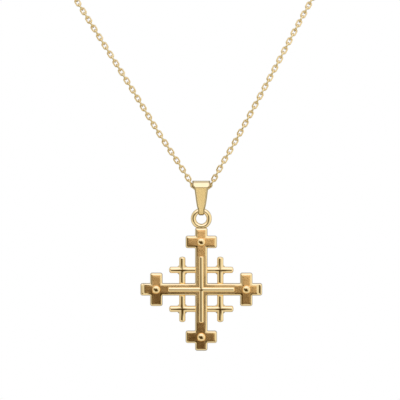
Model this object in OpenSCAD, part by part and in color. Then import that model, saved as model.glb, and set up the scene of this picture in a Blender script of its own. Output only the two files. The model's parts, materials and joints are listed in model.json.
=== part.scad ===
// Jerusalem cross pendant on a fine cable chain, hung as it is worn.
// The origin is the point at the nape where the back of the chain rests. +X is the wearer's left,
// the wearer faces -Y, and +Z is up.

/* [Main cross] */
// Height of the main cross, tip to tip
cross_height = 24.6; // [20:0.2:30]
// Width of the main cross, tip to tip
cross_width = 24.4; // [20:0.2:30]
// Width of the two main bars
bar_width = 2.5; // [2:0.1:3]
// Thickness of the bars, from the flat back to the flat front faces
bar_thick = 1.4; // [1:0.1:2]
// Chamfer along the front edges of the bars
bar_chamfer = 0.25; // [0.1:0.05:0.4]
// Chamfer at the four tips, along the bar
tip_chamfer = 0.55; // [0.2:0.05:0.8]

/* [End crossbars] */
// Height of the top and bottom crossbars' centres over the cross's centre
upright_crossbar_at = 9.5; // [8:0.1:10]
// Length of the top and bottom crossbars
upright_crossbar_length = 6.3; // [5:0.1:7]
// Distance of the side crossbars' centres from the cross's centre
side_crossbar_at = 9; // [8:0.1:10]
// Length of the side crossbars
side_crossbar_length = 6.7; // [5:0.1:7]

/* [Relief] */
// Width of the half-round ridge along the main bars
ridge_width = 0.95; // [0.6:0.05:1.2]
// Reach of the ridge from the cross's centre
ridge_reach = 6.7; // [5:0.1:7.5]
// Radius of the four domes
dome_radius = 0.85; // [0.5:0.05:1.1]
// How deep the domes' centres lie under the front faces
dome_sunk = 0.2; // [0:0.05:0.4]

/* [Small crosses] */
// Sideways distance of the small crosses' centres from the main centre
small_at_x = 3.8; // [3.4:0.1:4.4]
// Upward distance of the small crosses' centres from the main centre
small_at_z = 3.9; // [3.4:0.1:4.4]
// Reach of the small crosses' arms from their centres
small_reach = 2.65; // [2.6:0.05:3]
// Width of the small crosses' half-round arms
small_width = 1.15; // [0.8:0.05:1.4]
// Thickness of the small crosses, from the flat back to the crown of their arms
small_thick = 1.1; // [0.9:0.05:1.3]

/* [Ring] */
// Radius of the ring on the top tip, to the centre of its wire
ring_radius = 1.625; // [1.5:0.025:2]
// Thickness of the ring's wire
ring_wire = 0.95; // [0.6:0.01:0.97]
// How deep the top tip reaches into the ring's wire
ring_solder = 0.22; // [0.1:0.01:0.3]

/* [Bail] */
// Inner radius of the bail's fold, where the chain runs
fold_radius = 1.15; // [1.1:0.01:1.3]
// Wall of the bail at its fold
fold_wall = 0.27; // [0.2:0.01:0.4]
// Drop from the fold's centre to the centre of the lower loop
bail_drop = 4.52; // [4:0.01:6]
// Inner radius of the lower loop, which holds the ring
loop_radius = 0.65; // [0.62:0.01:0.65]
// Wall of the bail at its lower loop
loop_wall = 0.35; // [0.33:0.01:0.38]

/* [Chain and clasp] */
// Width over the links, as the diameter of the tube that stands for them
chain_width = 1; // [0.9:0.05:1.05]
// Radius of the clasp's ring, to the centre of its wire
clasp_radius = 2; // [1.6:0.1:3]
// Thickness of the clasp's ring
clasp_wire = 1.2; // [0.8:0.1:1.4]
// Radius of the clasp's two eyes, to the centre of their wire
eye_radius = 0.7; // [0.6:0.05:0.9]
// Thickness of the eyes' wire
eye_wire = 0.44; // [0.3:0.02:0.5]

/* [Hidden] */
round_fn = 64;
gold = [0.86, 0.68, 0.4];
past = 1;  // how far a cutting outline runs past what it cuts

bail_at = [0, -101.4, -117];  // centre of the bail's fold, from the nape
ring_top_at = bail_at - [0, 0, bail_drop];  // centre of the ring's wire where it hangs in the loop
ring_at = ring_top_at - [0, 0, ring_radius];
cross_at = ring_at - [0, 0, ring_radius + ring_wire / 2 - ring_solder + cross_height / 2];

// Half widths of the bail seen from the front, from its rolled top down to its tip: [half width, height]
bail_outline = [
    [1.87, fold_radius + fold_wall + past], [1.87, 0.4], [1.77, 0.12], [1.48, -0.1],
    [1.41, -0.14 * bail_drop], [1.13, -0.56 * bail_drop], [0.92, -0.78 * bail_drop], [0.7, -bail_drop],
    [0.6, -bail_drop - loop_radius], [0.57, -bail_drop - loop_radius - loop_wall - past]
];

// The chain's route from the left eye, down to the bail and up to the right eye, from the fold's centre
chain_route = [
    [-4.4, 102, 117], [-15, 100, 117], [-26.6, 95.2, 116.9], [-37.2, 88, 116.3], [-46, 79, 114.8],
    [-52.4, 69, 112.2], [-56.8, 58.6, 108.4], [-58.8, 48, 103.2], [-58.2, 37.8, 96.6], [-55.4, 28.6, 88.6],
    [-50.8, 20.6, 79.4], [-42.4, 12.2, 65.2], [-33, 6.5, 50.2], [-23.6, 2.8, 35.3], [-14.2, 0.8, 20.3],
    [-7.3, 0.2, 9.1], [-4.1, 0, 4.1], [-2.6, 0, 1.7], [-1.8, 0, 0.16], [-1, 0, -0.25],
    [0, 0, -0.3],
    [1, 0, -0.25], [1.8, 0, 0.16], [2.6, 0, 1.7], [3.9, 0, 4.1], [6.7, 0.2, 9.1],
    [12.8, 0.8, 20.3], [20.8, 2.8, 35.3], [29.2, 6.5, 50.2], [37.8, 12.2, 65.2], [46.2, 20.6, 79.4],
    [51.6, 28.6, 88.6], [55.2, 37.8, 96.6], [56.6, 48, 103.2], [55.6, 58.6, 108.4], [51.8, 69, 112.2],
    [45.8, 79, 114.8], [37.2, 88, 116.3], [26.6, 95.2, 116.9], [15, 100, 117], [4.4, 102, 117]
];
steps_per_point = 2;
tube_sides = 8;
neck_axis = [0, 48];  // the upright axis that the route goes round, from the fold's centre

function unit(v) = v / norm(v);

// Direction of the route at point i, weighted by the lengths of the two stretches beside it
function heading(p, i) =
    i == 0 ? unit(p[1] - p[0])
    : i == len(p) - 1 ? unit(p[i] - p[i - 1])
    : let (a = norm(p[i] - p[i - 1]), b = norm(p[i + 1] - p[i]))
        (b / a * (p[i] - p[i - 1]) + a / b * (p[i + 1] - p[i])) / (a + b);

// Point at share s of the smooth stretch from point i to the next one
function on_stretch(p, i, s) =
    let (h = norm(p[i + 1] - p[i]))
    (2 * pow(s, 3) - 3 * s * s + 1) * p[i] + (3 * s * s - 2 * pow(s, 3)) * p[i + 1]
    + h * (pow(s, 3) - 2 * s * s + s) * heading(p, i) + h * (pow(s, 3) - s * s) * heading(p, i + 1);

function smooth_route(p, steps) =
    [p[0], for (i = [0 : len(p) - 2]) for (k = [1 : steps]) on_stretch(p, i, k / steps)];

// Corner k of the tube's ring at point i, with one corner always on the side away from the neck
function tube_corner(p, i, k) =
    let (
        along = unit(p[min(i + 1, len(p) - 1)] - p[max(i - 1, 0)]),
        out = [p[i][0] - neck_axis[0], p[i][1] - neck_axis[1], 0],
        side = unit(out - (out * along) * along),
        up = cross(along, side),
        turn = 360 * k / tube_sides
    )
    p[i] + chain_width / 2 * (cos(turn) * side + sin(turn) * up);

// The four points where two straight lines touch a circle of radius r1 and one of radius r2 below it
function tangent_points(r1, r2, drop) =
    let (lean = asin((r1 - r2) / drop), a = [cos(lean), -sin(lean)])
    [r1 * a, r2 * a - [0, drop], [-r2 * a[0], r2 * a[1] - drop], [-r1 * a[0], r1 * a[1]]];

function mirrored(outline) =
    concat(outline, [for (i = [len(outline) - 1 : -1 : 0]) [-outline[i][0], outline[i][1]]]);

// A bar along X on the cross's flat back, chamfered along its front edges and at its two ends
module bar(length, end_chamfer) {
    back = bar_thick / 2;
    intersection() {
        rotate([90, 0, 90])
            linear_extrude(length, center = true)
                polygon([
                    [back, -bar_width / 2], [back, bar_width / 2],
                    [bar_chamfer - back, bar_width / 2], [-back, bar_width / 2 - bar_chamfer],
                    [-back, bar_chamfer - bar_width / 2], [bar_chamfer - back, -bar_width / 2]
                ]);
        linear_extrude(bar_width + past, center = true)
            polygon([
                [-length / 2, back], [length / 2, back],
                [length / 2, bar_chamfer - back], [length / 2 - end_chamfer, -back],
                [end_chamfer - length / 2, -back], [-length / 2, bar_chamfer - back]
            ]);
    }
}

// A round rod along X with ball ends, whose axis lies at the given depth behind the cross's middle plane
module rod(reach, radius, depth) {
    translate([0, depth, 0]) {
        rotate([0, 90, 0])
            cylinder(h = 2 * (reach - radius), r = radius, center = true, $fn = round_fn);
        for (side = [-1, 1])
            translate([side * (reach - radius), 0, 0])
                sphere(r = radius, $fn = round_fn);
    }
}

// One arm of a small cross: a flat-backed strip with a half-round front and round ends
module small_bar() {
    radius = small_width / 2;
    crown = bar_thick / 2 - small_thick + radius;
    straight = 2 * (small_reach - radius);
    rod(small_reach, radius, crown);
    translate([-straight / 2, crown, -radius])
        cube([straight, bar_thick / 2 - crown, small_width]);
    for (side = [-1, 1])
        translate([side * straight / 2, crown, 0])
            rotate([-90, 0, 0])
                cylinder(h = bar_thick / 2 - crown, r = radius, $fn = round_fn);
}

module small_cross() {
    small_bar();
    rotate([0, 90, 0]) small_bar();
}

// A closed ring of round wire, facing along Y
module torus(radius, wire) {
    rotate([90, 0, 0])
        rotate_extrude($fn = round_fn)
            translate([radius, 0]) circle(d = wire, $fn = round_fn);
}

module cross_with_ring() {
    dome_depth = dome_sunk - bar_thick / 2;
    color(gold) {
        translate(cross_at) {
            bar(cross_width, tip_chamfer);
            rotate([0, 90, 0]) bar(cross_height, tip_chamfer);
            for (side = [-1, 1]) {
                translate([0, 0, side * upright_crossbar_at])
                    bar(upright_crossbar_length, bar_chamfer);
                translate([side * side_crossbar_at, 0, 0])
                    rotate([0, 90, 0]) bar(side_crossbar_length, bar_chamfer);
                translate([0, dome_depth, side * upright_crossbar_at])
                    sphere(r = dome_radius, $fn = round_fn);
                translate([side * side_crossbar_at, dome_depth, 0])
                    sphere(r = dome_radius, $fn = round_fn);
            }
            rod(ridge_reach, ridge_width / 2, -bar_thick / 2);
            rotate([0, 90, 0]) rod(ridge_reach, ridge_width / 2, -bar_thick / 2);
            for (x = [-small_at_x, small_at_x], z = [-small_at_z, small_at_z])
                translate([x, 0, z]) small_cross();
        }
        translate(ring_at) torus(ring_radius, ring_wire);
    }
}

// A straight round-ended drop of the given width along X, with its fold at the origin and its loop below
module teardrop(top_radius, low_radius, width) {
    rotate([90, 0, 90]) {
        cylinder(h = width, r = top_radius, center = true, $fn = round_fn);
        translate([0, -bail_drop]) cylinder(h = width, r = low_radius, center = true, $fn = round_fn);
        linear_extrude(width, center = true)
            polygon(tangent_points(top_radius, low_radius, bail_drop));
    }
}

module bail() {
    strip_width = 2 * bail_outline[0][0] + past;
    color(gold)
        translate(bail_at)
            intersection() {
                difference() {
                    teardrop(fold_radius + fold_wall, loop_radius + loop_wall, strip_width);
                    teardrop(fold_radius, loop_radius, strip_width + past);
                }
                rotate([90, 0, 0])
                    linear_extrude(2 * (fold_radius + fold_wall + past), center = true)
                        polygon(mirrored(bail_outline));
            }
}

// The chain's tube from eye to eye
module chain() {
    path = smooth_route(chain_route, steps_per_point);
    rings = len(path);
    corners = [for (i = [0 : rings - 1]) for (k = [0 : tube_sides - 1]) tube_corner(path, i, k)];
    sides = [
        for (i = [0 : rings - 2]) for (k = [0 : tube_sides - 1])
            let (a = i * tube_sides, b = (k + 1) % tube_sides)
            each [[a + k, a + b, a + tube_sides + b], [a + k, a + tube_sides + b, a + tube_sides + k]]
    ];
    start_cap = [[for (k = [tube_sides - 1 : -1 : 0]) k]];
    end_cap = [[for (k = [0 : tube_sides - 1]) (rings - 1) * tube_sides + k]];
    color(gold)
        translate(bail_at)
            polyhedron(points = corners, faces = concat(sides, start_cap, end_cap));
}

// A plain ring clasp with a soldered eye at each side, lying flat at the nape
module clasp() {
    eye_at = clasp_radius + clasp_wire / 2 + eye_radius - eye_wire / 4;
    color(gold)
        translate([0, bail_at[1] + chain_route[0][1], 0]) {
            torus(clasp_radius, clasp_wire);
            for (side = [-1, 1])
                translate([side * eye_at, 0, 0]) torus(eye_radius, eye_wire);
        }
}

cross_with_ring();  // cross
bail();
chain();
clasp();
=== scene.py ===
# A gold Jerusalem cross pendant on a fine cable chain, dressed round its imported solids.
# Castings are modelled in millimetres, face up on the bench, then stood up where the solids are.
import json
import math

import bmesh
import bpy
from mathutils import Matrix, Vector


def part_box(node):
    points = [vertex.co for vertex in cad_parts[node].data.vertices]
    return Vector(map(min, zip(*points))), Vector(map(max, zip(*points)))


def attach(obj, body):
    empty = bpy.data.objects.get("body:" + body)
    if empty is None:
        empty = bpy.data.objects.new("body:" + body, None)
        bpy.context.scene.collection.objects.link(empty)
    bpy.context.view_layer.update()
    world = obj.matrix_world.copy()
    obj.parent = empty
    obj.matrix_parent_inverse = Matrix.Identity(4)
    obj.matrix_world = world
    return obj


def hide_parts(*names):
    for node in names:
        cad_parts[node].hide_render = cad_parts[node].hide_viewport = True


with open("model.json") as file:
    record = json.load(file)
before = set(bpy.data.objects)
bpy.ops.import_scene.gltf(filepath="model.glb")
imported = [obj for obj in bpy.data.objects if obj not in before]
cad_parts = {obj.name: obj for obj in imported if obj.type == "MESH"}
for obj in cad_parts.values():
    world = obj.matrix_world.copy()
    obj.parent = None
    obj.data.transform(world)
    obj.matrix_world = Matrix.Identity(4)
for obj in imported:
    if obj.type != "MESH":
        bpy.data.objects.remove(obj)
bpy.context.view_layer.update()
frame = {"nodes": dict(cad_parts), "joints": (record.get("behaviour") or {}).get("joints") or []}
mm = 0.001
jointAt = {joint["name"]: Vector(joint["pos_m"]) for joint in frame["joints"]}
foldAt = jointAt["bail_swing"]  # centre of the bail's fold
loopAt = jointAt["cross_swing"]  # centre of the bail's lower loop
scene = bpy.context.scene
print("frame loaded:", ", ".join(sorted(frame["nodes"])))


class Wire:  # a socket that can stand in a sum
    def __init__(self, graph, socket):
        self.graph = graph
        self.socket = socket

    def maths(self, operation, first, second):
        return self.graph.add("ShaderNodeMath", {"operation": operation}, {0: first, 1: second})

    def __add__(self, other):
        return self.maths("ADD", self, other)

    def __sub__(self, other):
        return self.maths("SUBTRACT", self, other)

    def __mul__(self, other):
        return self.maths("MULTIPLY", self, other)


class Graph:  # a node tree, with one way to add a node
    def __init__(self, tree):
        self.tree = tree
        tree.nodes.clear()

    def add(self, kind, settings, values, output=0):
        node = self.tree.nodes.new(kind)
        for name, setting in settings.items():
            if name == "stops":
                self.setStops(node.color_ramp.elements, setting)
            else:
                setattr(node, name, setting)
        for name, value in values.items():
            if isinstance(value, Wire):
                self.tree.links.new(value.socket, node.inputs[name])
            else:
                node.inputs[name].default_value = value
        return Wire(self, node.outputs[output]) if len(node.outputs) else None

    def setStops(self, ramp, stops):
        for index, (place, tone) in enumerate(stops):
            stop = ramp[index] if index < len(ramp) else ramp.new(place)
            stop.position = place
            stop.color = (*tone, 1)


def mixTones(graph, share, under, over):
    # 6 and 7 are the node's colour inputs, 2 is its colour output
    return graph.add("ShaderNodeMix", {"data_type": "RGBA"}, {0: share, 6: under, 7: over}, 2)


def clamp(value):
    return min(1.0, max(0.0, value))


def goldIndices(settings, *names):
    # where these finishes are in a piece's own list
    return [settings["golds"].index(name) for name in names]


# The tent: soft zones of light round the piece, laid one over the other. Each is its azimuth from the
# camera towards the right, its elevation, its half size, its soft edge and its tone.
tent = {
    "walls": (0.88, 0.87, 0.83),
    "zones": {
        "over": (180, 62, 56, 20, (0.64, 0.67, 0.76)),
        "behind": (180, -22, 56, 20, (0.32, 0.34, 0.38)),
        "ceiling": (4, 50, 37, 12, (1.22, 1.23, 1.5)),
        "leftBox": (-76, 8, 30, 16, (0.72, 0.71, 0.69)),
        "rightBox": (74, 10, 28, 16, (0.98, 0.97, 0.95)),
        "table": (0, -76, 36, 18, (0.74, 0.71, 0.64)),
        "lowerShade": (17, -17, 9, 8, (0.2, 0.16, 0.1)),
        "shade": (-27, 2, 14, 9, (0.14, 0.11, 0.055)),
        "lens": (-3, -10, 14, 9, (0.075, 0.048, 0.012)),
    },
    "paper": (1.0, 1.0, 1.0),  # this and the far paper are for the camera only
    "farPaper": (0.8, 0.8, 0.8), "farPaperAt": (180, 0, 24, 16),
}


def heading(azimuth, elevation):
    flat = math.cos(math.radians(elevation))
    return Vector((flat * math.sin(math.radians(azimuth)), -flat * math.cos(math.radians(azimuth)),
                   math.sin(math.radians(elevation))))


def buildTent(settings):
    world = bpy.data.worlds.new("lightTent")
    scene.world = world
    world.use_nodes = True
    graph = Graph(world.node_tree)
    way = graph.add("ShaderNodeTexCoord", {}, {}, "Generated")

    def inZone(azimuth, elevation, halfSize, edge):
        facing = graph.add("ShaderNodeVectorMath", {"operation": "DOT_PRODUCT"}, {
            0: way, 1: heading(azimuth, elevation)}, "Value")
        inside, outside = (math.cos(math.radians(halfSize + side * edge / 2)) for side in (-1, 1))
        return graph.add("ShaderNodeMapRange", {"interpolation_type": "SMOOTHSTEP"}, {
            "Value": facing, "From Min": outside, "From Max": inside})

    light = (*settings["walls"], 1)
    for azimuth, elevation, halfSize, edge, tone in settings["zones"].values():
        light = mixTones(graph, inZone(azimuth, elevation, halfSize, edge), light, (*tone, 1))
    far = inZone(*settings["farPaperAt"])
    paper = mixTones(graph, far, (*settings["farPaper"], 1), (*settings["paper"], 1))
    seen = graph.add("ShaderNodeLightPath", {}, {}, "Is Camera Ray")
    glow = graph.add("ShaderNodeBackground", {}, {"Color": mixTones(graph, seen, light, paper)})
    graph.add("ShaderNodeOutputWorld", {}, {"Surface": glow})
    scene.view_settings.view_transform = "Standard"


# The camera looks straight along +Y; the photo's middle is a little above the cross
view = {"distance": 500, "width": 80, "middle": (-0.26, -2.44), "sensor": 36}


def placeCamera(settings):
    camera = bpy.data.objects.new("camera", bpy.data.cameras.new("camera"))
    scene.collection.objects.link(camera)
    camera.data.sensor_width = settings["sensor"]
    camera.data.lens = settings["sensor"] * settings["distance"] / settings["width"]
    across, up = settings["middle"]
    camera.location = foldAt + Vector((across, -settings["distance"], up)) * mm
    camera.rotation_euler = (math.radians(90), 0, 0)
    scene.camera = camera


buildTent(tent)
placeCamera(view)
print("tent and camera ready")


# Gold finishes; sizes of the marks in millimetres
finishes = {
    "polishedGold": {
        "tone": (1.0, 0.79, 0.44), "deepTone": (0.97, 0.75, 0.39),
        "metallic": 1.0, "roughness": 0.06, "spread": 0.04,
        "grain": 0.35, "grainDepth": 0.0006, "scratch": 0.05, "scratchDepth": 0.0002,
    },
    "satinGold": {
        "tone": (0.98, 0.61, 0.235), "deepTone": (0.86, 0.51, 0.18),
        "metallic": 1.0, "roughness": 0.26, "spread": 0.1,
        "grain": 1.1, "grainDepth": 0.032, "scratch": 0.12, "scratchDepth": 0.001,
    },
    # painted light: a lighter gold for the flats beside the ridges, where the ridges and rims keep light off;
    # its roughness and grain are the flats' own
    "paintedLightGold": {
        "tone": (0.94, 0.67, 0.31), "deepTone": (0.84, 0.57, 0.24),
        "metallic": 1.0, "roughness": 0.3, "spread": 0.1,
        "grain": 0.9, "grainDepth": 0.012, "scratch": 0.1, "scratchDepth": 0.0006,
    },
    "brushedGold": {
        "tone": (1.0, 0.75, 0.3), "deepTone": (1.0, 0.72, 0.27),
        "metallic": 0.2, "roughness": 0.6, "spread": 0.02,
        "grain": 1.4, "grainDepth": 0.001, "scratch": 0.08, "scratchDepth": 0.0001,
    },
    "wireGold": {
        "tone": (0.92, 0.74, 0.39), "deepTone": (0.82, 0.63, 0.29),
        "metallic": 1.0, "roughness": 0.18, "spread": 0.06,
        "grain": 0.4, "grainDepth": 0.0006, "scratch": 0.08, "scratchDepth": 0.0003,
    },
    "domeGold": {
        "tone": (1.0, 0.78, 0.42), "deepTone": (0.95, 0.72, 0.36),
        "metallic": 1.0, "roughness": 0.08, "spread": 0.04,
        "grain": 0.35, "grainDepth": 0.002, "scratch": 0.08, "scratchDepth": 0.0003,
    },
    # painted shade: a dark gold laid where shade falls, in the crease under the ring, on the bail's sides and
    # outlines, on a streak down its panel and on its loop's lowest part
    "paintedShadeGold": {
        "tone": (0.52, 0.42, 0.22), "deepTone": (0.42, 0.32, 0.14),
        "metallic": 1.0, "roughness": 0.3, "spread": 0.1,
        "grain": 0.3, "grainDepth": 0.001, "scratch": 0.08, "scratchDepth": 0.0003,
    },
}


# What all finishes share: patches are broader than the grain by patchSize, noises lie round the middle
markings = {
    "grainDetail": 3, "scratchDetail": 1, "patchDetail": 2, "noiseRoughness": 0.6,
    "scratchStretch": 0.15, "patchSize": 4, "patchContrast": 2.2, "middle": 0.5,
}


def makeGold(name):
    finish = finishes[name]
    material = bpy.data.materials.new(name)
    material.use_nodes = True
    graph = Graph(material.node_tree)
    place = graph.add("ShaderNodeTexCoord", {}, {}, "Object")

    def marks(size, detail, stretch=1.0):
        spot = graph.add("ShaderNodeMapping", {}, {0: place, "Scale": (1, 1, stretch)})
        return graph.add("ShaderNodeTexNoise", {}, {
            "Vector": spot, "Scale": 1 / (size * mm), "Detail": detail,
            "Roughness": markings["noiseRoughness"]})

    middle = markings["middle"]
    grain = marks(finish["grain"], markings["grainDetail"])
    scratches = marks(finish["scratch"], markings["scratchDetail"], markings["scratchStretch"])
    patches = marks(finish["grain"] * markings["patchSize"], markings["patchDetail"])
    patches = (patches - middle) * markings["patchContrast"] + middle
    tone = mixTones(graph, patches, (*finish["tone"], 1), (*finish["deepTone"], 1))
    rough = (grain + patches - 2 * middle) * finish["spread"] + finish["roughness"]
    height = grain * (finish["grainDepth"] * mm) + scratches * (finish["scratchDepth"] * mm)
    relief = graph.add("ShaderNodeBump", {}, {"Strength": 1.0, "Distance": 1.0, "Height": height})
    shader = graph.add("ShaderNodeBsdfPrincipled", {}, {
        "Base Color": tone, "Metallic": finish["metallic"], "Roughness": rough, "Normal": relief})
    graph.add("ShaderNodeOutputMaterial", {}, {"Surface": shader})
    return material


golds = {name: makeGold(name) for name in finishes}
print("gold finishes ready")


# Points nearer to each other than this are joined, in millimetres
joinAt = {"cut": 0.0005, "corner": 0.002, "casting": 0.001, "soldered": 0.0015}
faceWeight = 90  # how much the larger faces' normals count
flatWithin = 1  # degrees between faces that are dissolved into one
roundProfile = 0.5  # of a bevel that is part of a circle


def benchObject(bm, name, materials, place=Matrix.Identity(4)):
    # keeps a mesh as an object, which stays at the origin
    bm.transform(place)
    mesh = bpy.data.meshes.new(name)
    bm.to_mesh(mesh)
    bm.free()
    for material in materials:
        mesh.materials.append(golds[material])
    piece = bpy.data.objects.new(name, mesh)
    scene.collection.objects.link(piece)
    return piece


def smoothPiece(piece, sharpAngle):
    piece.data.polygons.foreach_set("use_smooth", [True] * len(piece.data.polygons))
    piece.data.set_sharp_from_angle(angle=math.radians(sharpAngle))
    weigh = piece.modifiers.new("weigh", "WEIGHTED_NORMAL")
    weigh.keep_sharp = True
    weigh.weight = faceWeight


def partsOf(geometry, kind):
    return [part for part in geometry if isinstance(part, kind)]


def growFace(bm, edge, step):
    grown = bmesh.ops.extrude_edge_only(bm, edges=[edge])["geom"]
    bmesh.ops.translate(bm, verts=partsOf(grown, bmesh.types.BMVert), vec=step)
    return partsOf(grown, bmesh.types.BMFace)[0]


def edgeTowards(face, direction):
    return max(face.edges, key=lambda edge: (edge.verts[0].co + edge.verts[1].co).dot(direction))


def layPlus(bm, barWidth, arms):
    # lays a plus flat on the bench; a row of arms is its direction, its stretches and its wings' length
    bmesh.ops.create_grid(bm, x_segments=1, y_segments=1, size=barWidth / 2)
    centre = bm.faces[:][0]
    for direction, stretches, wing in arms:
        along = Vector(direction)
        across = Vector((-along.y, along.x, 0))
        edge = edgeTowards(centre, along)
        for index, length in enumerate(stretches):
            face = growFace(bm, edge, along * length)
            for side in (across, -across) if index == 1 else ():  # the crossbar
                growFace(bm, edgeTowards(face, side), side * wing)
            edge = edgeTowards(face, along)
    bmesh.ops.dissolve_limit(bm, angle_limit=math.radians(flatWithin), verts=bm.verts[:], edges=bm.edges[:])
    plan = bm.faces[:][0]
    if plan.normal.z < 0:
        plan.normal_flip()


def roundCorners(bm, outer, inner, segments):
    # rounds the plan's outer corners and fillets its inner ones
    plan = bm.faces[:][0]
    corners = {True: [], False: []}
    for loop in plan.loops:
        corners[loop.is_convex].append(loop.vert)
    for convex, radius in ((True, outer), (False, inner)):
        bmesh.ops.bevel(bm, geom=corners[convex], offset=radius, offset_type="OFFSET", segments=segments,
                        profile=roundProfile, affect="VERTICES", material=-1)
    bmesh.ops.remove_doubles(bm, verts=bm.verts[:], dist=joinAt["corner"])


def raiseSlab(bm, low, high):
    # thickens the plan from low to high and returns its top
    bmesh.ops.translate(bm, verts=bm.verts[:], vec=(0, 0, low))
    made = bmesh.ops.extrude_face_region(bm, geom=bm.faces[:])["geom"]
    bmesh.ops.translate(bm, verts=partsOf(made, bmesh.types.BMVert), vec=(0, 0, high - low))
    bmesh.ops.recalc_face_normals(bm, faces=bm.faces[:])
    return partsOf(made, bmesh.types.BMFace)


def roundRim(bm, faces, width, depth, steps, turn=90):
    # rolls the rim of a face over along a quarter ellipse, or along the first part of one
    for step in range(steps):
        low, high = (math.radians(turn * part / steps) for part in (step, step + 1))
        bmesh.ops.inset_region(bm, faces=faces, use_even_offset=True, use_boundary=True,
                               thickness=width * (math.cos(low) - math.cos(high)),
                               depth=depth * (math.sin(high) - math.sin(low)))


def sliceAt(bm, axis, places):
    # cuts through the whole mesh, across the axis at each of the places
    for place in places:
        bmesh.ops.bisect_plane(bm, geom=bm.verts[:] + bm.edges[:] + bm.faces[:], dist=joinAt["cut"],
                               plane_co=Vector(axis) * place, plane_no=axis)


def addCopies(bm, shape, matrices):
    # adds a copy of one shape for each matrix
    for matrix in matrices:
        mesh = bpy.data.meshes.new("copy")
        shape.to_mesh(mesh)
        mesh.transform(matrix)
        bm.from_mesh(mesh)
        bpy.data.meshes.remove(mesh)


# Steps of the small bars' mesh, and how far inside their ends their straight part begins
rodMesh = {"around": 32, "along": 19, "backSteps": 2, "straightFrom": 0.04}


def layRod(bm, place, span, radius, endShape, rise, crown, floor, backRound):
    # a bar with a half-oval front, rounded ends and straight sides down to its flat back
    rod = bmesh.new()
    bmesh.ops.create_uvsphere(rod, u_segments=rodMesh["around"], v_segments=rodMesh["along"], radius=radius,
                              matrix=Matrix.Rotation(math.radians(90), 4, "Y"))
    halves = {side: [vert for vert in rod.verts if vert.co.x * side > 0] for side in (-1, 1)}
    for side, end in zip((-1, 1), span):
        bmesh.ops.scale(rod, verts=halves[side], vec=(endShape, 1, 1))
        bmesh.ops.translate(rod, verts=halves[side], vec=(end - side * radius * endShape, 0, 0))
    ends = [end - side * (radius * endShape + rodMesh["straightFrom"]) for side, end in zip((-1, 1), span)]
    sliceAt(rod, (1, 0, 0), ends)  # keeps the straight part's reflections straight
    bmesh.ops.bisect_plane(rod, geom=rod.verts[:] + rod.edges[:] + rod.faces[:], dist=joinAt["cut"],
                           plane_co=(0, 0, 0), plane_no=(0, 0, 1), clear_inner=True)
    bmesh.ops.scale(rod, verts=rod.verts[:], vec=(1, 1, rise / radius))
    cut = [edge for edge in rod.edges if edge.is_boundary]
    grown = bmesh.ops.extrude_edge_only(rod, edges=cut)["geom"]
    bmesh.ops.translate(rod, verts=partsOf(grown, bmesh.types.BMVert),
                        vec=(0, 0, floor + backRound - crown + rise))
    rim = [edge for edge in rod.edges if edge.is_boundary]
    back = bmesh.ops.contextual_create(rod, geom=rim)["faces"]
    bmesh.ops.recalc_face_normals(rod, faces=rod.faces[:])
    if backRound:
        roundRim(rod, back, backRound, backRound, rodMesh["backSteps"])
    addCopies(bm, rod, [place @ Matrix.Translation((0, 0, crown - rise))])
    rod.free()


def fuse(piece, tools):
    # unites a piece with its tools, and keeps the result as the piece's own mesh
    for tool in tools:
        union = piece.modifiers.new("union", "BOOLEAN")
        union.operation = "UNION"
        union.solver = "EXACT"
        union.object = tool
    bpy.context.view_layer.update()
    made = bpy.data.meshes.new_from_object(piece.evaluated_get(bpy.context.evaluated_depsgraph_get()))
    piece.modifiers.clear()
    piece.data = made
    for tool in tools:
        bpy.data.objects.remove(tool)


def clearSlivers(bm, size):
    # joins the nearly equal points that a union leaves
    bmesh.ops.remove_doubles(bm, verts=bm.verts[:], dist=size)
    bmesh.ops.dissolve_degenerate(bm, edges=bm.edges[:], dist=size)


def wireRing(radius, wire, ringSteps, wireSteps):
    # a ring of round wire lying on the bench's plane
    bm = bmesh.new()
    bmesh.ops.create_circle(bm, segments=wireSteps, radius=wire / 2, cap_ends=False)
    bmesh.ops.rotate(bm, verts=bm.verts[:], matrix=Matrix.Rotation(math.radians(90), 3, "X"))
    bmesh.ops.translate(bm, verts=bm.verts[:], vec=(radius, 0, 0))
    bmesh.ops.rotate(bm, verts=bm.verts[:], matrix=Matrix.Rotation(math.pi / ringSteps, 3, "Z"))
    bmesh.ops.spin(bm, geom=bm.verts[:] + bm.edges[:], cent=(0, 0, 0), axis=(0, 0, 1),
                   angle=math.radians(360), steps=ringSteps, use_merge=True)
    bmesh.ops.remove_doubles(bm, verts=bm.verts[:], dist=joinAt["cut"])
    bmesh.ops.recalc_face_normals(bm, faces=bm.faces[:])
    return bm


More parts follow.
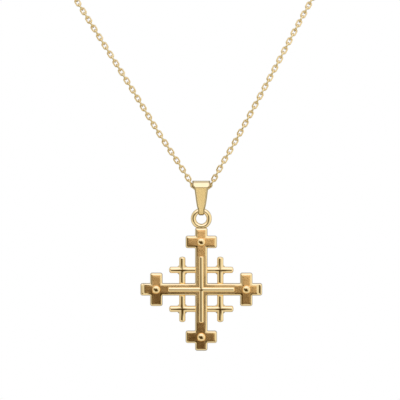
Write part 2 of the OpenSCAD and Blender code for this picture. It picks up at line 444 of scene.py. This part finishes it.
cross = {
    "golds": ("polishedGold", "satinGold", "domeGold", "paintedShadeGold", "paintedLightGold"),
    "barWidth": 2.5, "thick": 1.4,
    "uprightBarAt": 9.5, "uprightBarLength": 6.3,
    "sideBarAt": 9.0, "sideBarLength": 6.7,
    "cornerRadius": 0.42, "filletRadius": 0.14, "draft": 0.08, "draftFrom": 0.25,
    "rimWidth": 0.28, "rimDepth": 0.28, "rimTurn": 84, "backRim": 0.12,
    "cornerSteps": 5, "rimSteps": 6, "backSteps": 2,
    "backFacing": -0.9,  # a face of the back has a normal whose height is below this
    # how far the front sinks at the rims, where that ends and over what width
    "edgeFall": (0.03, 0.33, 0.42),
    "edgeSlices": (0.35, 0.7, 1),  # cuts across that width; the first one bounds the polished band
    "fallOver": 0.5,  # the sinking sets in over this length before the ridges' ends
    "tips": (  # each with its curve's length, fall and rise again, and whether its front is polished
        ((1, 0, 0), 1.14, 0.3, 0.9, True), ((-1, 0, 0), 0.95, 0.4, 0.6, True),
        ((0, 1, 0), 1.0, 0.05, 0.0, False), ((0, -1, 0), 0.4, 0.3, 0.0, False),
    ),
    "tipDip": (0.383, 0.707),  # from where to where along its length a curve rises again
    "tipSteps": 8, "tipPower": 1.2,
    "bow": 0.2, "pillow": 0.07,  # shares of the thickness
    "pillowMargin": 0.1,  # the crossbars' padding begins this far beside them
    "ridgeWidth": 0.95, "ridgeReach": 6.7, "ridgeRise": 0.36, "ridgeCrown": 1.84,
    "ridgeRoot": 0.4,  # how deep the ridges' sides go into the bars
    "domeRadius": 0.85, "domeSunk": 0.2, "domePower": 3.2, "domeSteps": (40, 24),
    "domeMargin": 0.02,  # what stands upright reaches this far round a dome
    "smallAt": (3.8, 3.9), "smallReach": 2.65, "smallWidth": 1.26, "smallThick": 1.1, "smallRise": 0.5,
    "endShape": 0.62,  # the rods' ends are blunter than a half ball
    "smallBack": (0.04, 0.055),  # of the bars that lie across and of the upright ones: never one plane
    "bedded": 0.25,  # how far the small crosses' inner ends go into the bars
    # soft fillings where two half-round bars cross
    "ridgePad": 0.4, "smallPad": 0.5, "padFlat": 0.3, "padSunk": 0.02, "padSteps": (24, 12),
    # fills the small crosses' inner corners: its reach below and above, its low and its high side
    "web": (1.62, 1.2, 0.12, 0.68),
    "ringRadius": 1.57, "ringWire": 1.06, "ringSteps": (72, 28), "solder": 0.22, "seatLift": 0.1,
    "paintedShade": (0.95, -0.12, 0.16),  # painted shade in the crease under the ring: its half width, and its lower and upper side from the tip
    "sharpAngle": 24,
}


def planOf(settings, reaches):
    # the bars seen from the front, each as its left, right, lower and upper side
    half = settings["barWidth"] / 2
    plan = [(-reaches[(-1, 0, 0)], reaches[(1, 0, 0)], -half, half),
            (-half, half, -reaches[(0, -1, 0)], reaches[(0, 1, 0)])]
    for side in (-1, 1):
        at, long = side * settings["sideBarAt"], settings["sideBarLength"] / 2
        plan.append((at - half, at + half, -long, long))
        at, long = side * settings["uprightBarAt"], settings["uprightBarLength"] / 2
        plan.append((-long, long, at - half, at + half))
    return plan


def insideOf(plan, spot):
    # how far a spot lies inside the bars' outline
    return max(min(spot.x - left, right - spot.x, spot.y - low, high - spot.y)
               for left, right, low, high in plan)


def crossings(settings):
    # where the crossbars cross the bars
    return [Vector((x * settings["sideBarAt"], y * settings["uprightBarAt"]))
            for x, y in ((1, 0), (-1, 0), (0, 1), (0, -1))]


def smallCentres(settings):
    # the middles of the four small crosses
    across, up = settings["smallAt"]
    return [(x, y) for x in (-across, across) for y in (-up, up)]


def cutFront(bm, settings, reaches, plan):
    # cuts the front where it bends, and gives its parts their finish, with painted light on the flats beside
    # the ridges
    polished, satin, paintedLight = goldIndices(settings, "polishedGold", "satinGold", "paintedLightGold")
    rim, width = settings["edgeFall"][1:]
    bandEnd = rim + settings["edgeSlices"][0] * width
    for axis, sides in (((1, 0, 0), {(bar[0], 1) for bar in plan} | {(bar[1], -1) for bar in plan}),
                        ((0, 1, 0), {(bar[2], 1) for bar in plan} | {(bar[3], -1) for bar in plan})):
        sliceAt(bm, axis, [side + inward * (rim + width * share)
                           for side, inward in sides for share in settings["edgeSlices"]])
    for axis in ((1, 0, 0), (0, 1, 0)):
        sliceAt(bm, axis, (-settings["ridgeReach"], settings["ridgeReach"]))
    for face in bm.faces:
        middle = face.calc_center_median()
        pastRidge = max(abs(middle.x), abs(middle.y)) > settings["ridgeReach"]
        # the flats beside the ridges get a lighter gold as painted light
        if face.material_index == satin and not pastRidge:
            face.material_index = paintedLight
        elif face.material_index == satin and insideOf(plan, middle) < bandEnd:
            face.material_index = polished
    steps = settings["tipSteps"]
    curve = [math.sin(math.radians(90 * step / steps)) for step in range(steps)]
    for direction, length, fall, rebound, shiny in settings["tips"]:
        tipAt = reaches[direction] - length
        sliceAt(bm, direction, [tipAt + length * share for share in curve])
        for face in bm.faces:
            if shiny and face.material_index == satin and face.calc_center_median().dot(direction) > tipAt:
                face.material_index = polished


def bowFront(bm, settings, reaches):
    # bows the front back towards the tips and rims, pads the crossbars lengthwise, rolls the tips over
    half = settings["barWidth"] / 2
    plan = planOf(settings, reaches)
    cutFront(bm, settings, reaches, plan)
    depth, rim, width = settings["edgeFall"]
    span = max(reaches.values())
    dipStart, dipEnd = settings["tipDip"]
    margin = settings["pillowMargin"]
    domes = crossings(settings)
    for vert in bm.verts:
        x, y, z = vert.co
        inside = insideOf(plan, vert.co)
        for dome in domes:
            if (vert.co.xy - dome).length < settings["domeRadius"] + settings["domeMargin"]:
                x, y = dome  # a dome stays upright
        scale = 1 - settings["bow"] * (x * x + y * y) / span ** 2
        pastRidge = max(abs(x), abs(y)) - settings["ridgeReach"] + settings["fallOver"]
        beyond = clamp(pastRidge / settings["fallOver"])
        scale -= depth / settings["thick"] * beyond * clamp(1 - (inside - rim) / width) ** 2
        if abs(x) > settings["sideBarAt"] - half - margin:
            scale -= settings["pillow"] * (2 * y / settings["sideBarLength"]) ** 2
        if abs(y) > settings["uprightBarAt"] - half - margin:
            scale -= settings["pillow"] * (2 * x / settings["uprightBarLength"]) ** 2
        for direction, length, fall, rebound, shiny in settings["tips"]:
            past = min(1.0, (vert.co.dot(direction) - reaches[direction] + length) / length)
            if past > 0:
                back = max(0.0, min(past, dipEnd) - dipStart) * (1 + rebound if rebound else 0)
                scale *= 1 - fall * (past - back) ** settings["tipPower"]
        vert.co.z = z * scale


def layRods(settings, turn, backAt):
    # the ridge and the small crosses' bars that lie in one direction
    reach = settings["smallReach"]
    rods = bmesh.new()
    turned = Matrix.Rotation(math.radians(turn), 4, "Z")
    layRod(rods, turned, (-settings["ridgeReach"], settings["ridgeReach"]), settings["ridgeWidth"] / 2,
           settings["endShape"], settings["ridgeRise"], settings["ridgeCrown"],
           settings["thick"] - settings["ridgeRoot"], backRound=0)
    for x, y in smallCentres(settings):
        along, aside = (x, y) if turn == 0 else (y, -x)
        inner = along - math.copysign(reach + settings["bedded"], along)
        outer = along + math.copysign(reach, along)
        layRod(rods, turned @ Matrix.Translation((0, aside, 0)), sorted((inner, outer)),
               settings["smallWidth"] / 2, settings["endShape"], settings["smallRise"],
               settings["smallThick"], backAt, settings["backRim"])
    return rods


def layDomes(settings):
    # a dome on each crossing, with its top flattened like a hammered rivet's
    domes = bmesh.new()
    radius, power = settings["domeRadius"], settings["domePower"]
    around, along = settings["domeSteps"]
    for crossing in crossings(settings):
        made = bmesh.ops.create_uvsphere(domes, u_segments=around, v_segments=along, radius=radius)
        for vert in made["verts"]:
            out = min(1.0, math.hypot(vert.co.x, vert.co.y) / radius)
            vert.co.z = math.copysign(radius * (1 - out ** power) ** (1 / power), vert.co.z)
        bmesh.ops.translate(domes, verts=made["verts"],
                            vec=(*crossing, settings["thick"] - settings["domeSunk"]))
    for face in domes.faces:
        face.material_index = settings["golds"].index("domeGold")
    return domes


def layPads(settings):
    # a soft filling where two half-round bars cross
    pads = bmesh.new()
    flat = settings["padFlat"]
    around, along = settings["padSteps"]
    spots = [(0, 0, settings["ridgeCrown"], settings["ridgePad"])]
    spots += [(x, y, settings["smallThick"], settings["smallPad"]) for x, y in smallCentres(settings)]
    for x, y, crown, size in spots:
        place = (Matrix.Translation((x, y, crown - flat * size - settings["padSunk"]))
                 @ Matrix.Diagonal((1, 1, flat, 1)))
        bmesh.ops.create_uvsphere(pads, u_segments=around, v_segments=along, radius=size, matrix=place)
    return pads


def layWebs(settings):
    # a low, cut off pyramid in each small cross, which fills its inner corners
    webs = bmesh.new()
    wide, narrow, low, high = settings["web"]
    for x, y in smallCentres(settings):
        bmesh.ops.create_cone(webs, cap_ends=True, segments=4, radius1=wide, radius2=narrow,
                              depth=high - low, matrix=Matrix.Translation((x, y, (low + high) / 2)))
    return webs


def buildCross(settings):
    low, high = (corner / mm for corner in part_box("cross"))
    thick = settings["thick"]
    ringSpan = 2 * settings["ringRadius"] + settings["ringWire"] - settings["solder"]
    halfWidth = (high.x - low.x) / 2
    halfHeight = (high.z - low.z - ringSpan) / 2
    place = (Matrix.Translation(Vector((0, high.y - thick / 2, low.z + halfHeight)) * mm)
             @ Matrix.Rotation(math.radians(90), 4, "X") @ Matrix.Scale(mm, 4)
             @ Matrix.Translation((0, 0, -thick / 2)))
    bar = settings["barWidth"]
    reaches = {(1, 0, 0): halfWidth, (-1, 0, 0): halfWidth, (0, 1, 0): halfHeight + settings["seatLift"],
               (0, -1, 0): halfHeight}
    rows = []
    for direction, reach in reaches.items():
        at, wingSpan = ((settings["sideBarAt"], settings["sideBarLength"]) if direction[0] else
                        (settings["uprightBarAt"], settings["uprightBarLength"]))
        rows.append((direction, (at - bar, bar, reach - at - bar / 2), (wingSpan - bar) / 2))
    body = bmesh.new()
    layPlus(body, bar, rows)
    roundCorners(body, settings["cornerRadius"], settings["filletRadius"], settings["cornerSteps"])
    sideTop = thick - settings["rimDepth"] * math.sin(math.radians(settings["rimTurn"]))
    top = raiseSlab(body, settings["backRim"], settings["draftFrom"])
    back = [face for face in body.faces if face.normal.z < settings["backFacing"]]
    bmesh.ops.inset_region(body, faces=top, use_even_offset=True, use_boundary=True,
                           thickness=settings["draft"], depth=sideTop - settings["draftFrom"])
    roundRim(body, top, settings["rimWidth"], settings["rimDepth"], settings["rimSteps"],
             settings["rimTurn"])
    roundRim(body, back, settings["backRim"], settings["backRim"], settings["backSteps"])
    for face in top:
        face.material_index = settings["golds"].index("satinGold")
    piece = benchObject(body, "cross", settings["golds"])

    tools = [benchObject(layRods(settings, turn, backAt), name, ("polishedGold", "satinGold"))
             for name, turn, backAt in zip(("barsAcross", "barsUpright"), (0, 90), settings["smallBack"])]
    tools.append(benchObject(layDomes(settings), "domes", ("polishedGold", "satinGold", "domeGold")))
    tools.append(benchObject(layPads(settings), "pads", ("polishedGold", "satinGold")))
    tools.append(benchObject(layWebs(settings), "webs", ("polishedGold", "satinGold")))
    fuse(piece, tools)

    casting = bmesh.new()
    casting.from_mesh(piece.data)
    clearSlivers(casting, joinAt["casting"])
    bowFront(casting, settings, reaches)
    clearSlivers(casting, joinAt["casting"])
    casting.transform(place)
    casting.to_mesh(piece.data)
    casting.free()

    ring = wireRing(settings["ringRadius"], settings["ringWire"], *settings["ringSteps"])
    ringAt = halfHeight - settings["solder"] + settings["ringWire"] / 2 + settings["ringRadius"]
    ring.transform(place @ Matrix.Translation((0, ringAt, high.y - loopAt.y / mm)))
    fuse(piece, [benchObject(ring, "ring", ("polishedGold", "satinGold"))])
    casting = bmesh.new()
    casting.from_mesh(piece.data)
    clearSlivers(casting, joinAt["soldered"] * mm)
    casting.to_mesh(piece.data)
    casting.free()
    # painted shade: a dark gold band in the crease where the ring sits on the upper tip
    shadeWidth, shadeLow, shadeHigh = settings["paintedShade"]
    shadeAt = place @ Vector((0, halfHeight, 0))
    for polygon in piece.data.polygons:
        offset = (polygon.center - shadeAt) / mm
        if abs(offset.x) < shadeWidth and shadeLow < offset.z < shadeHigh:
            polygon.material_index = settings["golds"].index("paintedShadeGold")
    smoothPiece(piece, settings["sharpAngle"])
    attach(piece, "pendant")
    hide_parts("cross")
    print("cross built:", len(piece.data.polygons), "faces")


bail = {
    "golds": ("polishedGold", "brushedGold", "paintedShadeGold"),
    "wall": 0.23, "loopOuter": 1.0,
    # the wall is thinner before and behind the swinging ring, up to this far above the loop
    "ringRoom": 0.13, "roomAbove": 0.2,
    "foldSteps": 26, "flankSteps": 10, "loopSteps": 12,
    "outline": [  # height from the fold's centre, half width
        (2.0, 1.8), (0.6, 1.82), (0.34, 1.78), (0.14, 1.64), (0.0, 1.48), (-0.1, 1.42), (-0.44, 1.36),
        (-1.44, 1.23), (-2.44, 1.1), (-3.44, 0.95), (-4.04, 0.81), (-4.54, 0.68), (-5.17, 0.59), (-6.0, 0.55),
    ],
    "columns": (0.0, 0.4, 0.79, 0.84, 0.9, 0.94, 1.0),  # shares of the half width
    "streakFrom": 0.79, "outlineFrom": 0.9,  # painted shade: a dark streak on the right of the panel, and the outermost columns painted dark
    "flatShare": 0.84, "sideFall": 0.12,
    # how far the strip's edges slope; up there, over the chain, they lose most of that slope
    "edgeSlope": 0.19, "straightFrom": 0.4, "slopeLoss": 0.8,
    "sideFacing": 0.7,  # a face of the edges, painted dark as shade, has a normal that points sideways by more than this
    "edgeBevel": 0.03, "bevelSteps": 3, "bevelAngle": 50,
    "panelFrom": -0.05, "tipFrom": -5.28,  # where the panel begins, and where the loop's lowest part, painted dark as shade, begins
    "sharpAngle": 40,
}


def halfWidthAt(outline, height):
    # the strip's inside has this half width
    for (highZ, highWidth), (lowZ, lowWidth) in zip(outline, outline[1:]):
        if height >= lowZ:
            share = (highZ - height) / (highZ - lowZ)
            return highWidth + (lowWidth - highWidth) * share
    return outline[-1][1]


def slopeAt(settings, height):
    # how much narrower the strip's outside is than its inside, on each side
    share = clamp(height / settings["straightFrom"])
    return settings["edgeSlope"] * (1 - settings["slopeLoss"] * share)


def outsideAt(settings, height):
    # the half width of the strip's outside
    return halfWidthAt(settings["outline"], height) - slopeAt(settings, height)


def bendStrip(bm, settings, foldOuter, drop):
    # the strip's middle line, from the top of the fold down the front and round to the loop's lowest point
    lean = math.asin((foldOuter - settings["loopOuter"]) / drop)
    vert = bmesh.ops.create_vert(bm, co=(0, 0, foldOuter))["vert"][0]
    turned = bmesh.ops.spin(bm, geom=[vert], cent=(0, 0, 0), axis=(1, 0, 0),
                            angle=math.radians(90) + lean, steps=settings["foldSteps"])
    end = turned["geom_last"][0]
    facing = Vector((0, -math.cos(lean), -math.sin(lean)))
    target = facing * settings["loopOuter"] - Vector((0, 0, drop))
    step = (target - end.co) / settings["flankSteps"]
    for _ in range(settings["flankSteps"]):
        grown = bmesh.ops.extrude_vert_indiv(bm, verts=[end])["verts"]
        bmesh.ops.translate(bm, verts=grown, vec=step)
        end = grown[0]
    bmesh.ops.spin(bm, geom=[end], cent=(0, 0, -drop), axis=(1, 0, 0),
                   angle=math.radians(90) - lean, steps=settings["loopSteps"])
    bmesh.ops.remove_doubles(bm, verts=bm.verts[:], dist=joinAt["cut"])


def widenStrip(bm, columns):
    # widens the line by columns, and mirrors the strip to the left and to the back
    edges = bm.edges[:]
    for before, after in zip(columns, columns[1:]):
        grown = bmesh.ops.extrude_edge_only(bm, edges=edges)["geom"]
        verts = partsOf(grown, bmesh.types.BMVert)
        bmesh.ops.translate(bm, verts=verts, vec=(after - before, 0, 0))
        moved = set(verts)
        edges = [edge for edge in partsOf(grown, bmesh.types.BMEdge)
                 if edge.verts[0] in moved and edge.verts[1] in moved]
    for axis in ("X", "Y"):
        bmesh.ops.mirror(bm, geom=bm.verts[:] + bm.edges[:] + bm.faces[:],
                         merge_dist=joinAt["cut"], axis=axis)
        bmesh.ops.remove_doubles(bm, verts=bm.verts[:], dist=joinAt["cut"])
    bmesh.ops.recalc_face_normals(bm, faces=bm.faces[:])
    if max(bm.faces, key=lambda face: face.calc_center_median().z).normal.z < 0:
        bmesh.ops.reverse_faces(bm, faces=bm.faces[:])
    bm.normal_update()


def narrowStrip(bm, settings, drop):
    # gives the strip its outline; its sides fall away in front and behind, but not round chain and ring
    sink = {}
    for vert in bm.verts:
        past = max(0.0, abs(vert.co.x) - settings["flatShare"]) / (1 - settings["flatShare"])
        past *= clamp(vert.co.z + drop - settings["loopOuter"] / 2)
        sink[vert] = vert.normal.copy() * (settings["sideFall"] * past * vert.normal.y ** 2)
    for vert in bm.verts:
        width = halfWidthAt(settings["outline"], vert.co.z)
        vert.co -= sink[vert]
        vert.co.x *= width - slopeAt(settings, vert.co.z)


def buildBail(settings):
    low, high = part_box("bail")
    drop = (foldAt.z - loopAt.z) / mm
    polished, brushed, paintedShade = goldIndices(settings, "polishedGold", "brushedGold", "paintedShadeGold")
    bm = bmesh.new()
    bendStrip(bm, settings, (high.y - low.y) / 2 / mm, drop)
    widenStrip(bm, settings["columns"])
    narrowStrip(bm, settings, drop)
    # painted shade goes on the roll's side bands, the outermost columns, a streak on the right of the panel
    # and the loop's lowest part
    for face in bm.faces:
        middle = face.calc_center_median()
        share = middle.x / outsideAt(settings, middle.z)
        onPanel = middle.z < settings["panelFrom"]
        if abs(share) < settings["flatShare"]:
            paintedDark = middle.z < settings["tipFrom"] or onPanel and share > settings["streakFrom"]
            face.material_index = paintedShade if paintedDark else brushed if onPanel else polished
        else:
            face.material_index = polished if onPanel and abs(share) < settings["outlineFrom"] else paintedShade
    outside = set(bm.verts)
    bmesh.ops.solidify(bm, geom=bm.faces[:], thickness=settings["wall"])
    for vert in bm.verts:  # the inside is a little wider, so that the strip's edges show from the front
        if vert not in outside:
            vert.co.x *= 1 + slopeAt(settings, vert.co.z) / outsideAt(settings, vert.co.z)
            near = clamp(settings["loopOuter"] + settings["roomAbove"] - vert.co.z - drop)
            vert.co.y += settings["ringRoom"] * near * vert.co.y / settings["loopOuter"]
    bmesh.ops.recalc_face_normals(bm, faces=bm.faces[:])
    # the strip's sideways faces get the painted shade too
    for face in bm.faces:
        if abs(face.normal.x) > settings["sideFacing"]:
            face.material_index = paintedShade
    bend = math.radians(settings["bevelAngle"])
    rims = [edge for edge in bm.edges if len(edge.link_faces) == 2 and edge.calc_face_angle() > bend]
    bmesh.ops.bevel(bm, geom=rims, offset=settings["edgeBevel"], offset_type="OFFSET",
                    segments=settings["bevelSteps"], profile=roundProfile, affect="EDGES", material=-1)
    place = Matrix.Translation(foldAt) @ Matrix.Scale(mm, 4)
    piece = benchObject(bm, "bail", settings["golds"], place)
    smoothPiece(piece, settings["sharpAngle"])
    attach(piece, "bail")
    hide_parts("bail")
    print("bail built:", len(piece.data.polygons), "faces")


chain = {
    "wire": 0.37, "width": 1.24, "endAt": 0.71,  # an end's wire lies this far from its link's centre
    "leftLinks": 212, "rightLinks": 210,
    "foldRolls": (60, 220),  # how the two links on each side inside the fold are rolled
    "evenLinks": 46,  # links on each side that keep their turn before the strand twists over the shoulder
    "ringSteps": 12, "wireSteps": 6, "pathStep": 0.1, "sharpAngle": 80,
    "route": [  # from the fold's centre, between the middles of the two links that hold the clasp's eyes
        (-4.19, 102, 117), (-15, 100, 117), (-26.6, 95.2, 116.9), (-37.2, 88, 116.3), (-46, 79, 114.8),
        (-52.4, 69, 112.2), (-56.8, 58.6, 108.4), (-58.8, 48, 103.2), (-58.2, 37.8, 96.6),
        (-55.4, 28.6, 88.6), (-50.8, 20.6, 79.4), (-42.4, 12.2, 65.2), (-33, 6.5, 50.2),
        (-23.6, 2.8, 35.3), (-14.2, 0.8, 20.3), (-7.3, 0.2, 9.1), (-4.1, 0, 4.25), (-2.7, 0, 2.05),
        (-1.85, 0, 0.6), (-1, 0, 0.0), (0, 0, -0.15), (1, 0, 0.0), (1.85, 0, 0.6), (2.7, 0, 2.05),
        (3.9, 0, 4.25), (6.7, 0.2, 9.1), (12.8, 0.8, 20.3), (20.8, 2.8, 35.3), (29.2, 6.5, 50.2),
        (37.8, 12.2, 65.2), (46.2, 20.6, 79.4), (51.6, 28.6, 88.6), (55.2, 37.8, 96.6),
        (56.6, 48, 103.2), (55.6, 58.6, 108.4), (51.8, 69, 112.2), (45.8, 79, 114.8),
        (37.2, 88, 116.3), (26.6, 95.2, 116.9), (15, 100, 117), (4.19, 102, 117),
    ],
}


def finePath(route, step):
    # one smooth curve through the route's points, as short steps of equal share
    points = [Vector(point) for point in route]
    spans = [(after - before).length for before, after in zip(points, points[1:])]
    headings = [(points[1] - points[0]) / spans[0]]
    for index in range(1, len(points) - 1):
        near, far = spans[index - 1], spans[index]
        back, ahead = points[index] - points[index - 1], points[index + 1] - points[index]
        headings.append((back * (far / near) + ahead * (near / far)) / (near + far))
    headings.append((points[-1] - points[-2]) / spans[-1])
    path = [points[0]]
    for index, span in enumerate(spans):
        count = math.ceil(span / step)
        for turn in range(1, count + 1):
            t = turn / count
            path.append(points[index] * (2 * t ** 3 - 3 * t ** 2 + 1)
                        + points[index + 1] * (3 * t ** 2 - 2 * t ** 3)
                        + headings[index] * span * (t ** 3 - 2 * t ** 2 + t)
                        + headings[index + 1] * span * (t ** 3 - t ** 2))
    return path


def linkPlaces(path, links, even, foldRolls):
    # a matrix for each link of one strand, from the bail to the clasp: Y runs along it, Z is its flat side;
    # the first link is half a pitch from the fold's middle, and the last one's middle is the path's end
    lengths = [0.0]
    for before, after in zip(path, path[1:]):
        lengths.append(lengths[-1] + (after - before).length)
    pitch = lengths[-1] / (links - 0.5)
    places = []
    flat = Vector((0, -1, 0))
    index = 0
    for link in range(links):
        middle = (link + 0.5) * pitch
        while lengths[index + 1] < middle and index < len(path) - 2:
            index += 1
            along = (path[index + 1] - path[index]).normalized()
            flat = (flat - along * flat.dot(along)).normalized()
        share = (middle - lengths[index]) / (lengths[index + 1] - lengths[index])
        along = (path[index + 1] - path[index]).normalized()
        flat = (flat - along * flat.dot(along)).normalized()
        places.append((path[index].lerp(path[index + 1], share), along, flat.copy()))
    centre, along, flat = places[-1]
    turn = math.degrees(math.atan2(Vector((0, 0, 1)).dot(along.cross(flat)), flat.z)) - 90 * (links % 2)
    turn = (turn + 90) % 180 - 90
    matrices = []
    for link, (centre, along, flat) in enumerate(places):
        roll = 90 * (link + 1) + turn * max(0.0, (link - even) / (links - 1 - even))
        if link < len(foldRolls):
            roll = foldRolls[link]
        normal = Matrix.Rotation(math.radians(roll), 3, along) @ flat
        rows = Matrix((along.cross(normal), along, normal)).transposed()
        matrices.append(Matrix.Translation(centre) @ rows.to_4x4())
    print("strand of", links, "links, pitch", round(pitch, 4), "twist", round(turn, 1))
    return matrices


def buildChain(settings):
    path = finePath(settings["route"], settings["pathStep"])
    middle = min(range(len(path)), key=lambda index: path[index].z)
    radius = (settings["width"] - settings["wire"]) / 2
    link = wireRing(radius, settings["wire"], settings["ringSteps"], settings["wireSteps"])
    stretch = settings["endAt"] - radius
    for vert in link.verts:
        vert.co.y += math.copysign(stretch, vert.co.y)
    chain = bmesh.new()
    place = Matrix.Translation(foldAt) @ Matrix.Scale(mm, 4)
    for strand, links in ((path[middle::-1], settings["leftLinks"]), (path[middle:], settings["rightLinks"])):
        addCopies(chain, link, linkPlaces(strand, links, settings["evenLinks"], settings["foldRolls"]))
    link.free()
    piece = benchObject(chain, "chain", ("wireGold",), place)
    smoothPiece(piece, settings["sharpAngle"])
    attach(piece, "strand")
    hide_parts("chain")
    print("chain built:", len(piece.data.polygons), "faces")


clasp = {
    "ringRadius": 2, "ringWire": 1.2, "ringSteps": (64, 24),
    "eyeRadius": 0.7, "eyeWire": 0.36, "eyeSteps": (36, 16),
    "eyeSunk": 0.25,  # the share of an eye's wire that is soldered into the ring
    "sharpAngle": 40,
}


def buildClasp(settings):
    low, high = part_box("clasp")
    eyeAt = (settings["ringRadius"] + settings["ringWire"] / 2 + settings["eyeRadius"]
             - settings["eyeWire"] * settings["eyeSunk"])
    place = (Matrix.Translation((low + high) / 2) @ Matrix.Rotation(math.radians(90), 4, "X")
             @ Matrix.Scale(mm, 4))
    band = wireRing(settings["ringRadius"], settings["ringWire"], *settings["ringSteps"])
    ring = benchObject(band, "clasp", ("polishedGold",), place)
    eye = wireRing(settings["eyeRadius"], settings["eyeWire"], *settings["eyeSteps"])
    eyes = bmesh.new()
    addCopies(eyes, eye, [Matrix.Translation((side * eyeAt, 0, 0)) for side in (-1, 1)])
    eye.free()
    fuse(ring, [benchObject(eyes, "eyes", ("polishedGold",), place)])
    smoothPiece(ring, settings["sharpAngle"])
    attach(ring, "strand")
    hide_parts("clasp")
    print("clasp built:", len(ring.data.polygons), "faces")


# The white paper under it all, in metres; fibres is how many there are to a metre
floorPaper = {
    "halfSize": 0.55, "height": -0.27, "tone": (0.9, 0.9, 0.89), "roughness": 0.9,
    "fibres": 900.0, "fibreDetail": 4, "fibreDepth": 0.0002,
}


def layFloor(settings):
    bm = bmesh.new()
    bmesh.ops.create_grid(bm, x_segments=1, y_segments=1, size=settings["halfSize"])
    bmesh.ops.translate(bm, verts=bm.verts[:], vec=(0, 0, settings["height"]))
    mesh = bpy.data.meshes.new("floor")
    bm.to_mesh(mesh)
    bm.free()
    floor = bpy.data.objects.new("floor", mesh)
    scene.collection.objects.link(floor)
    material = bpy.data.materials.new("palePaper")
    material.use_nodes = True
    graph = Graph(material.node_tree)
    place = graph.add("ShaderNodeTexCoord", {}, {}, "Object")
    fibres = graph.add("ShaderNodeTexNoise", {}, {
        "Vector": place, "Scale": settings["fibres"], "Detail": settings["fibreDetail"]})
    relief = graph.add("ShaderNodeBump", {}, {"Distance": settings["fibreDepth"], "Height": fibres})
    paper = graph.add("ShaderNodeBsdfPrincipled", {}, {
        "Base Color": (*settings["tone"], 1), "Roughness": settings["roughness"], "Normal": relief})
    graph.add("ShaderNodeOutputMaterial", {}, {"Surface": paper})
    mesh.materials.append(material)
    floor.visible_glossy = False
    print("floor laid")


buildChain(chain)
buildClasp(clasp)
buildCross(cross)
buildBail(bail)
layFloor(floorPaper)
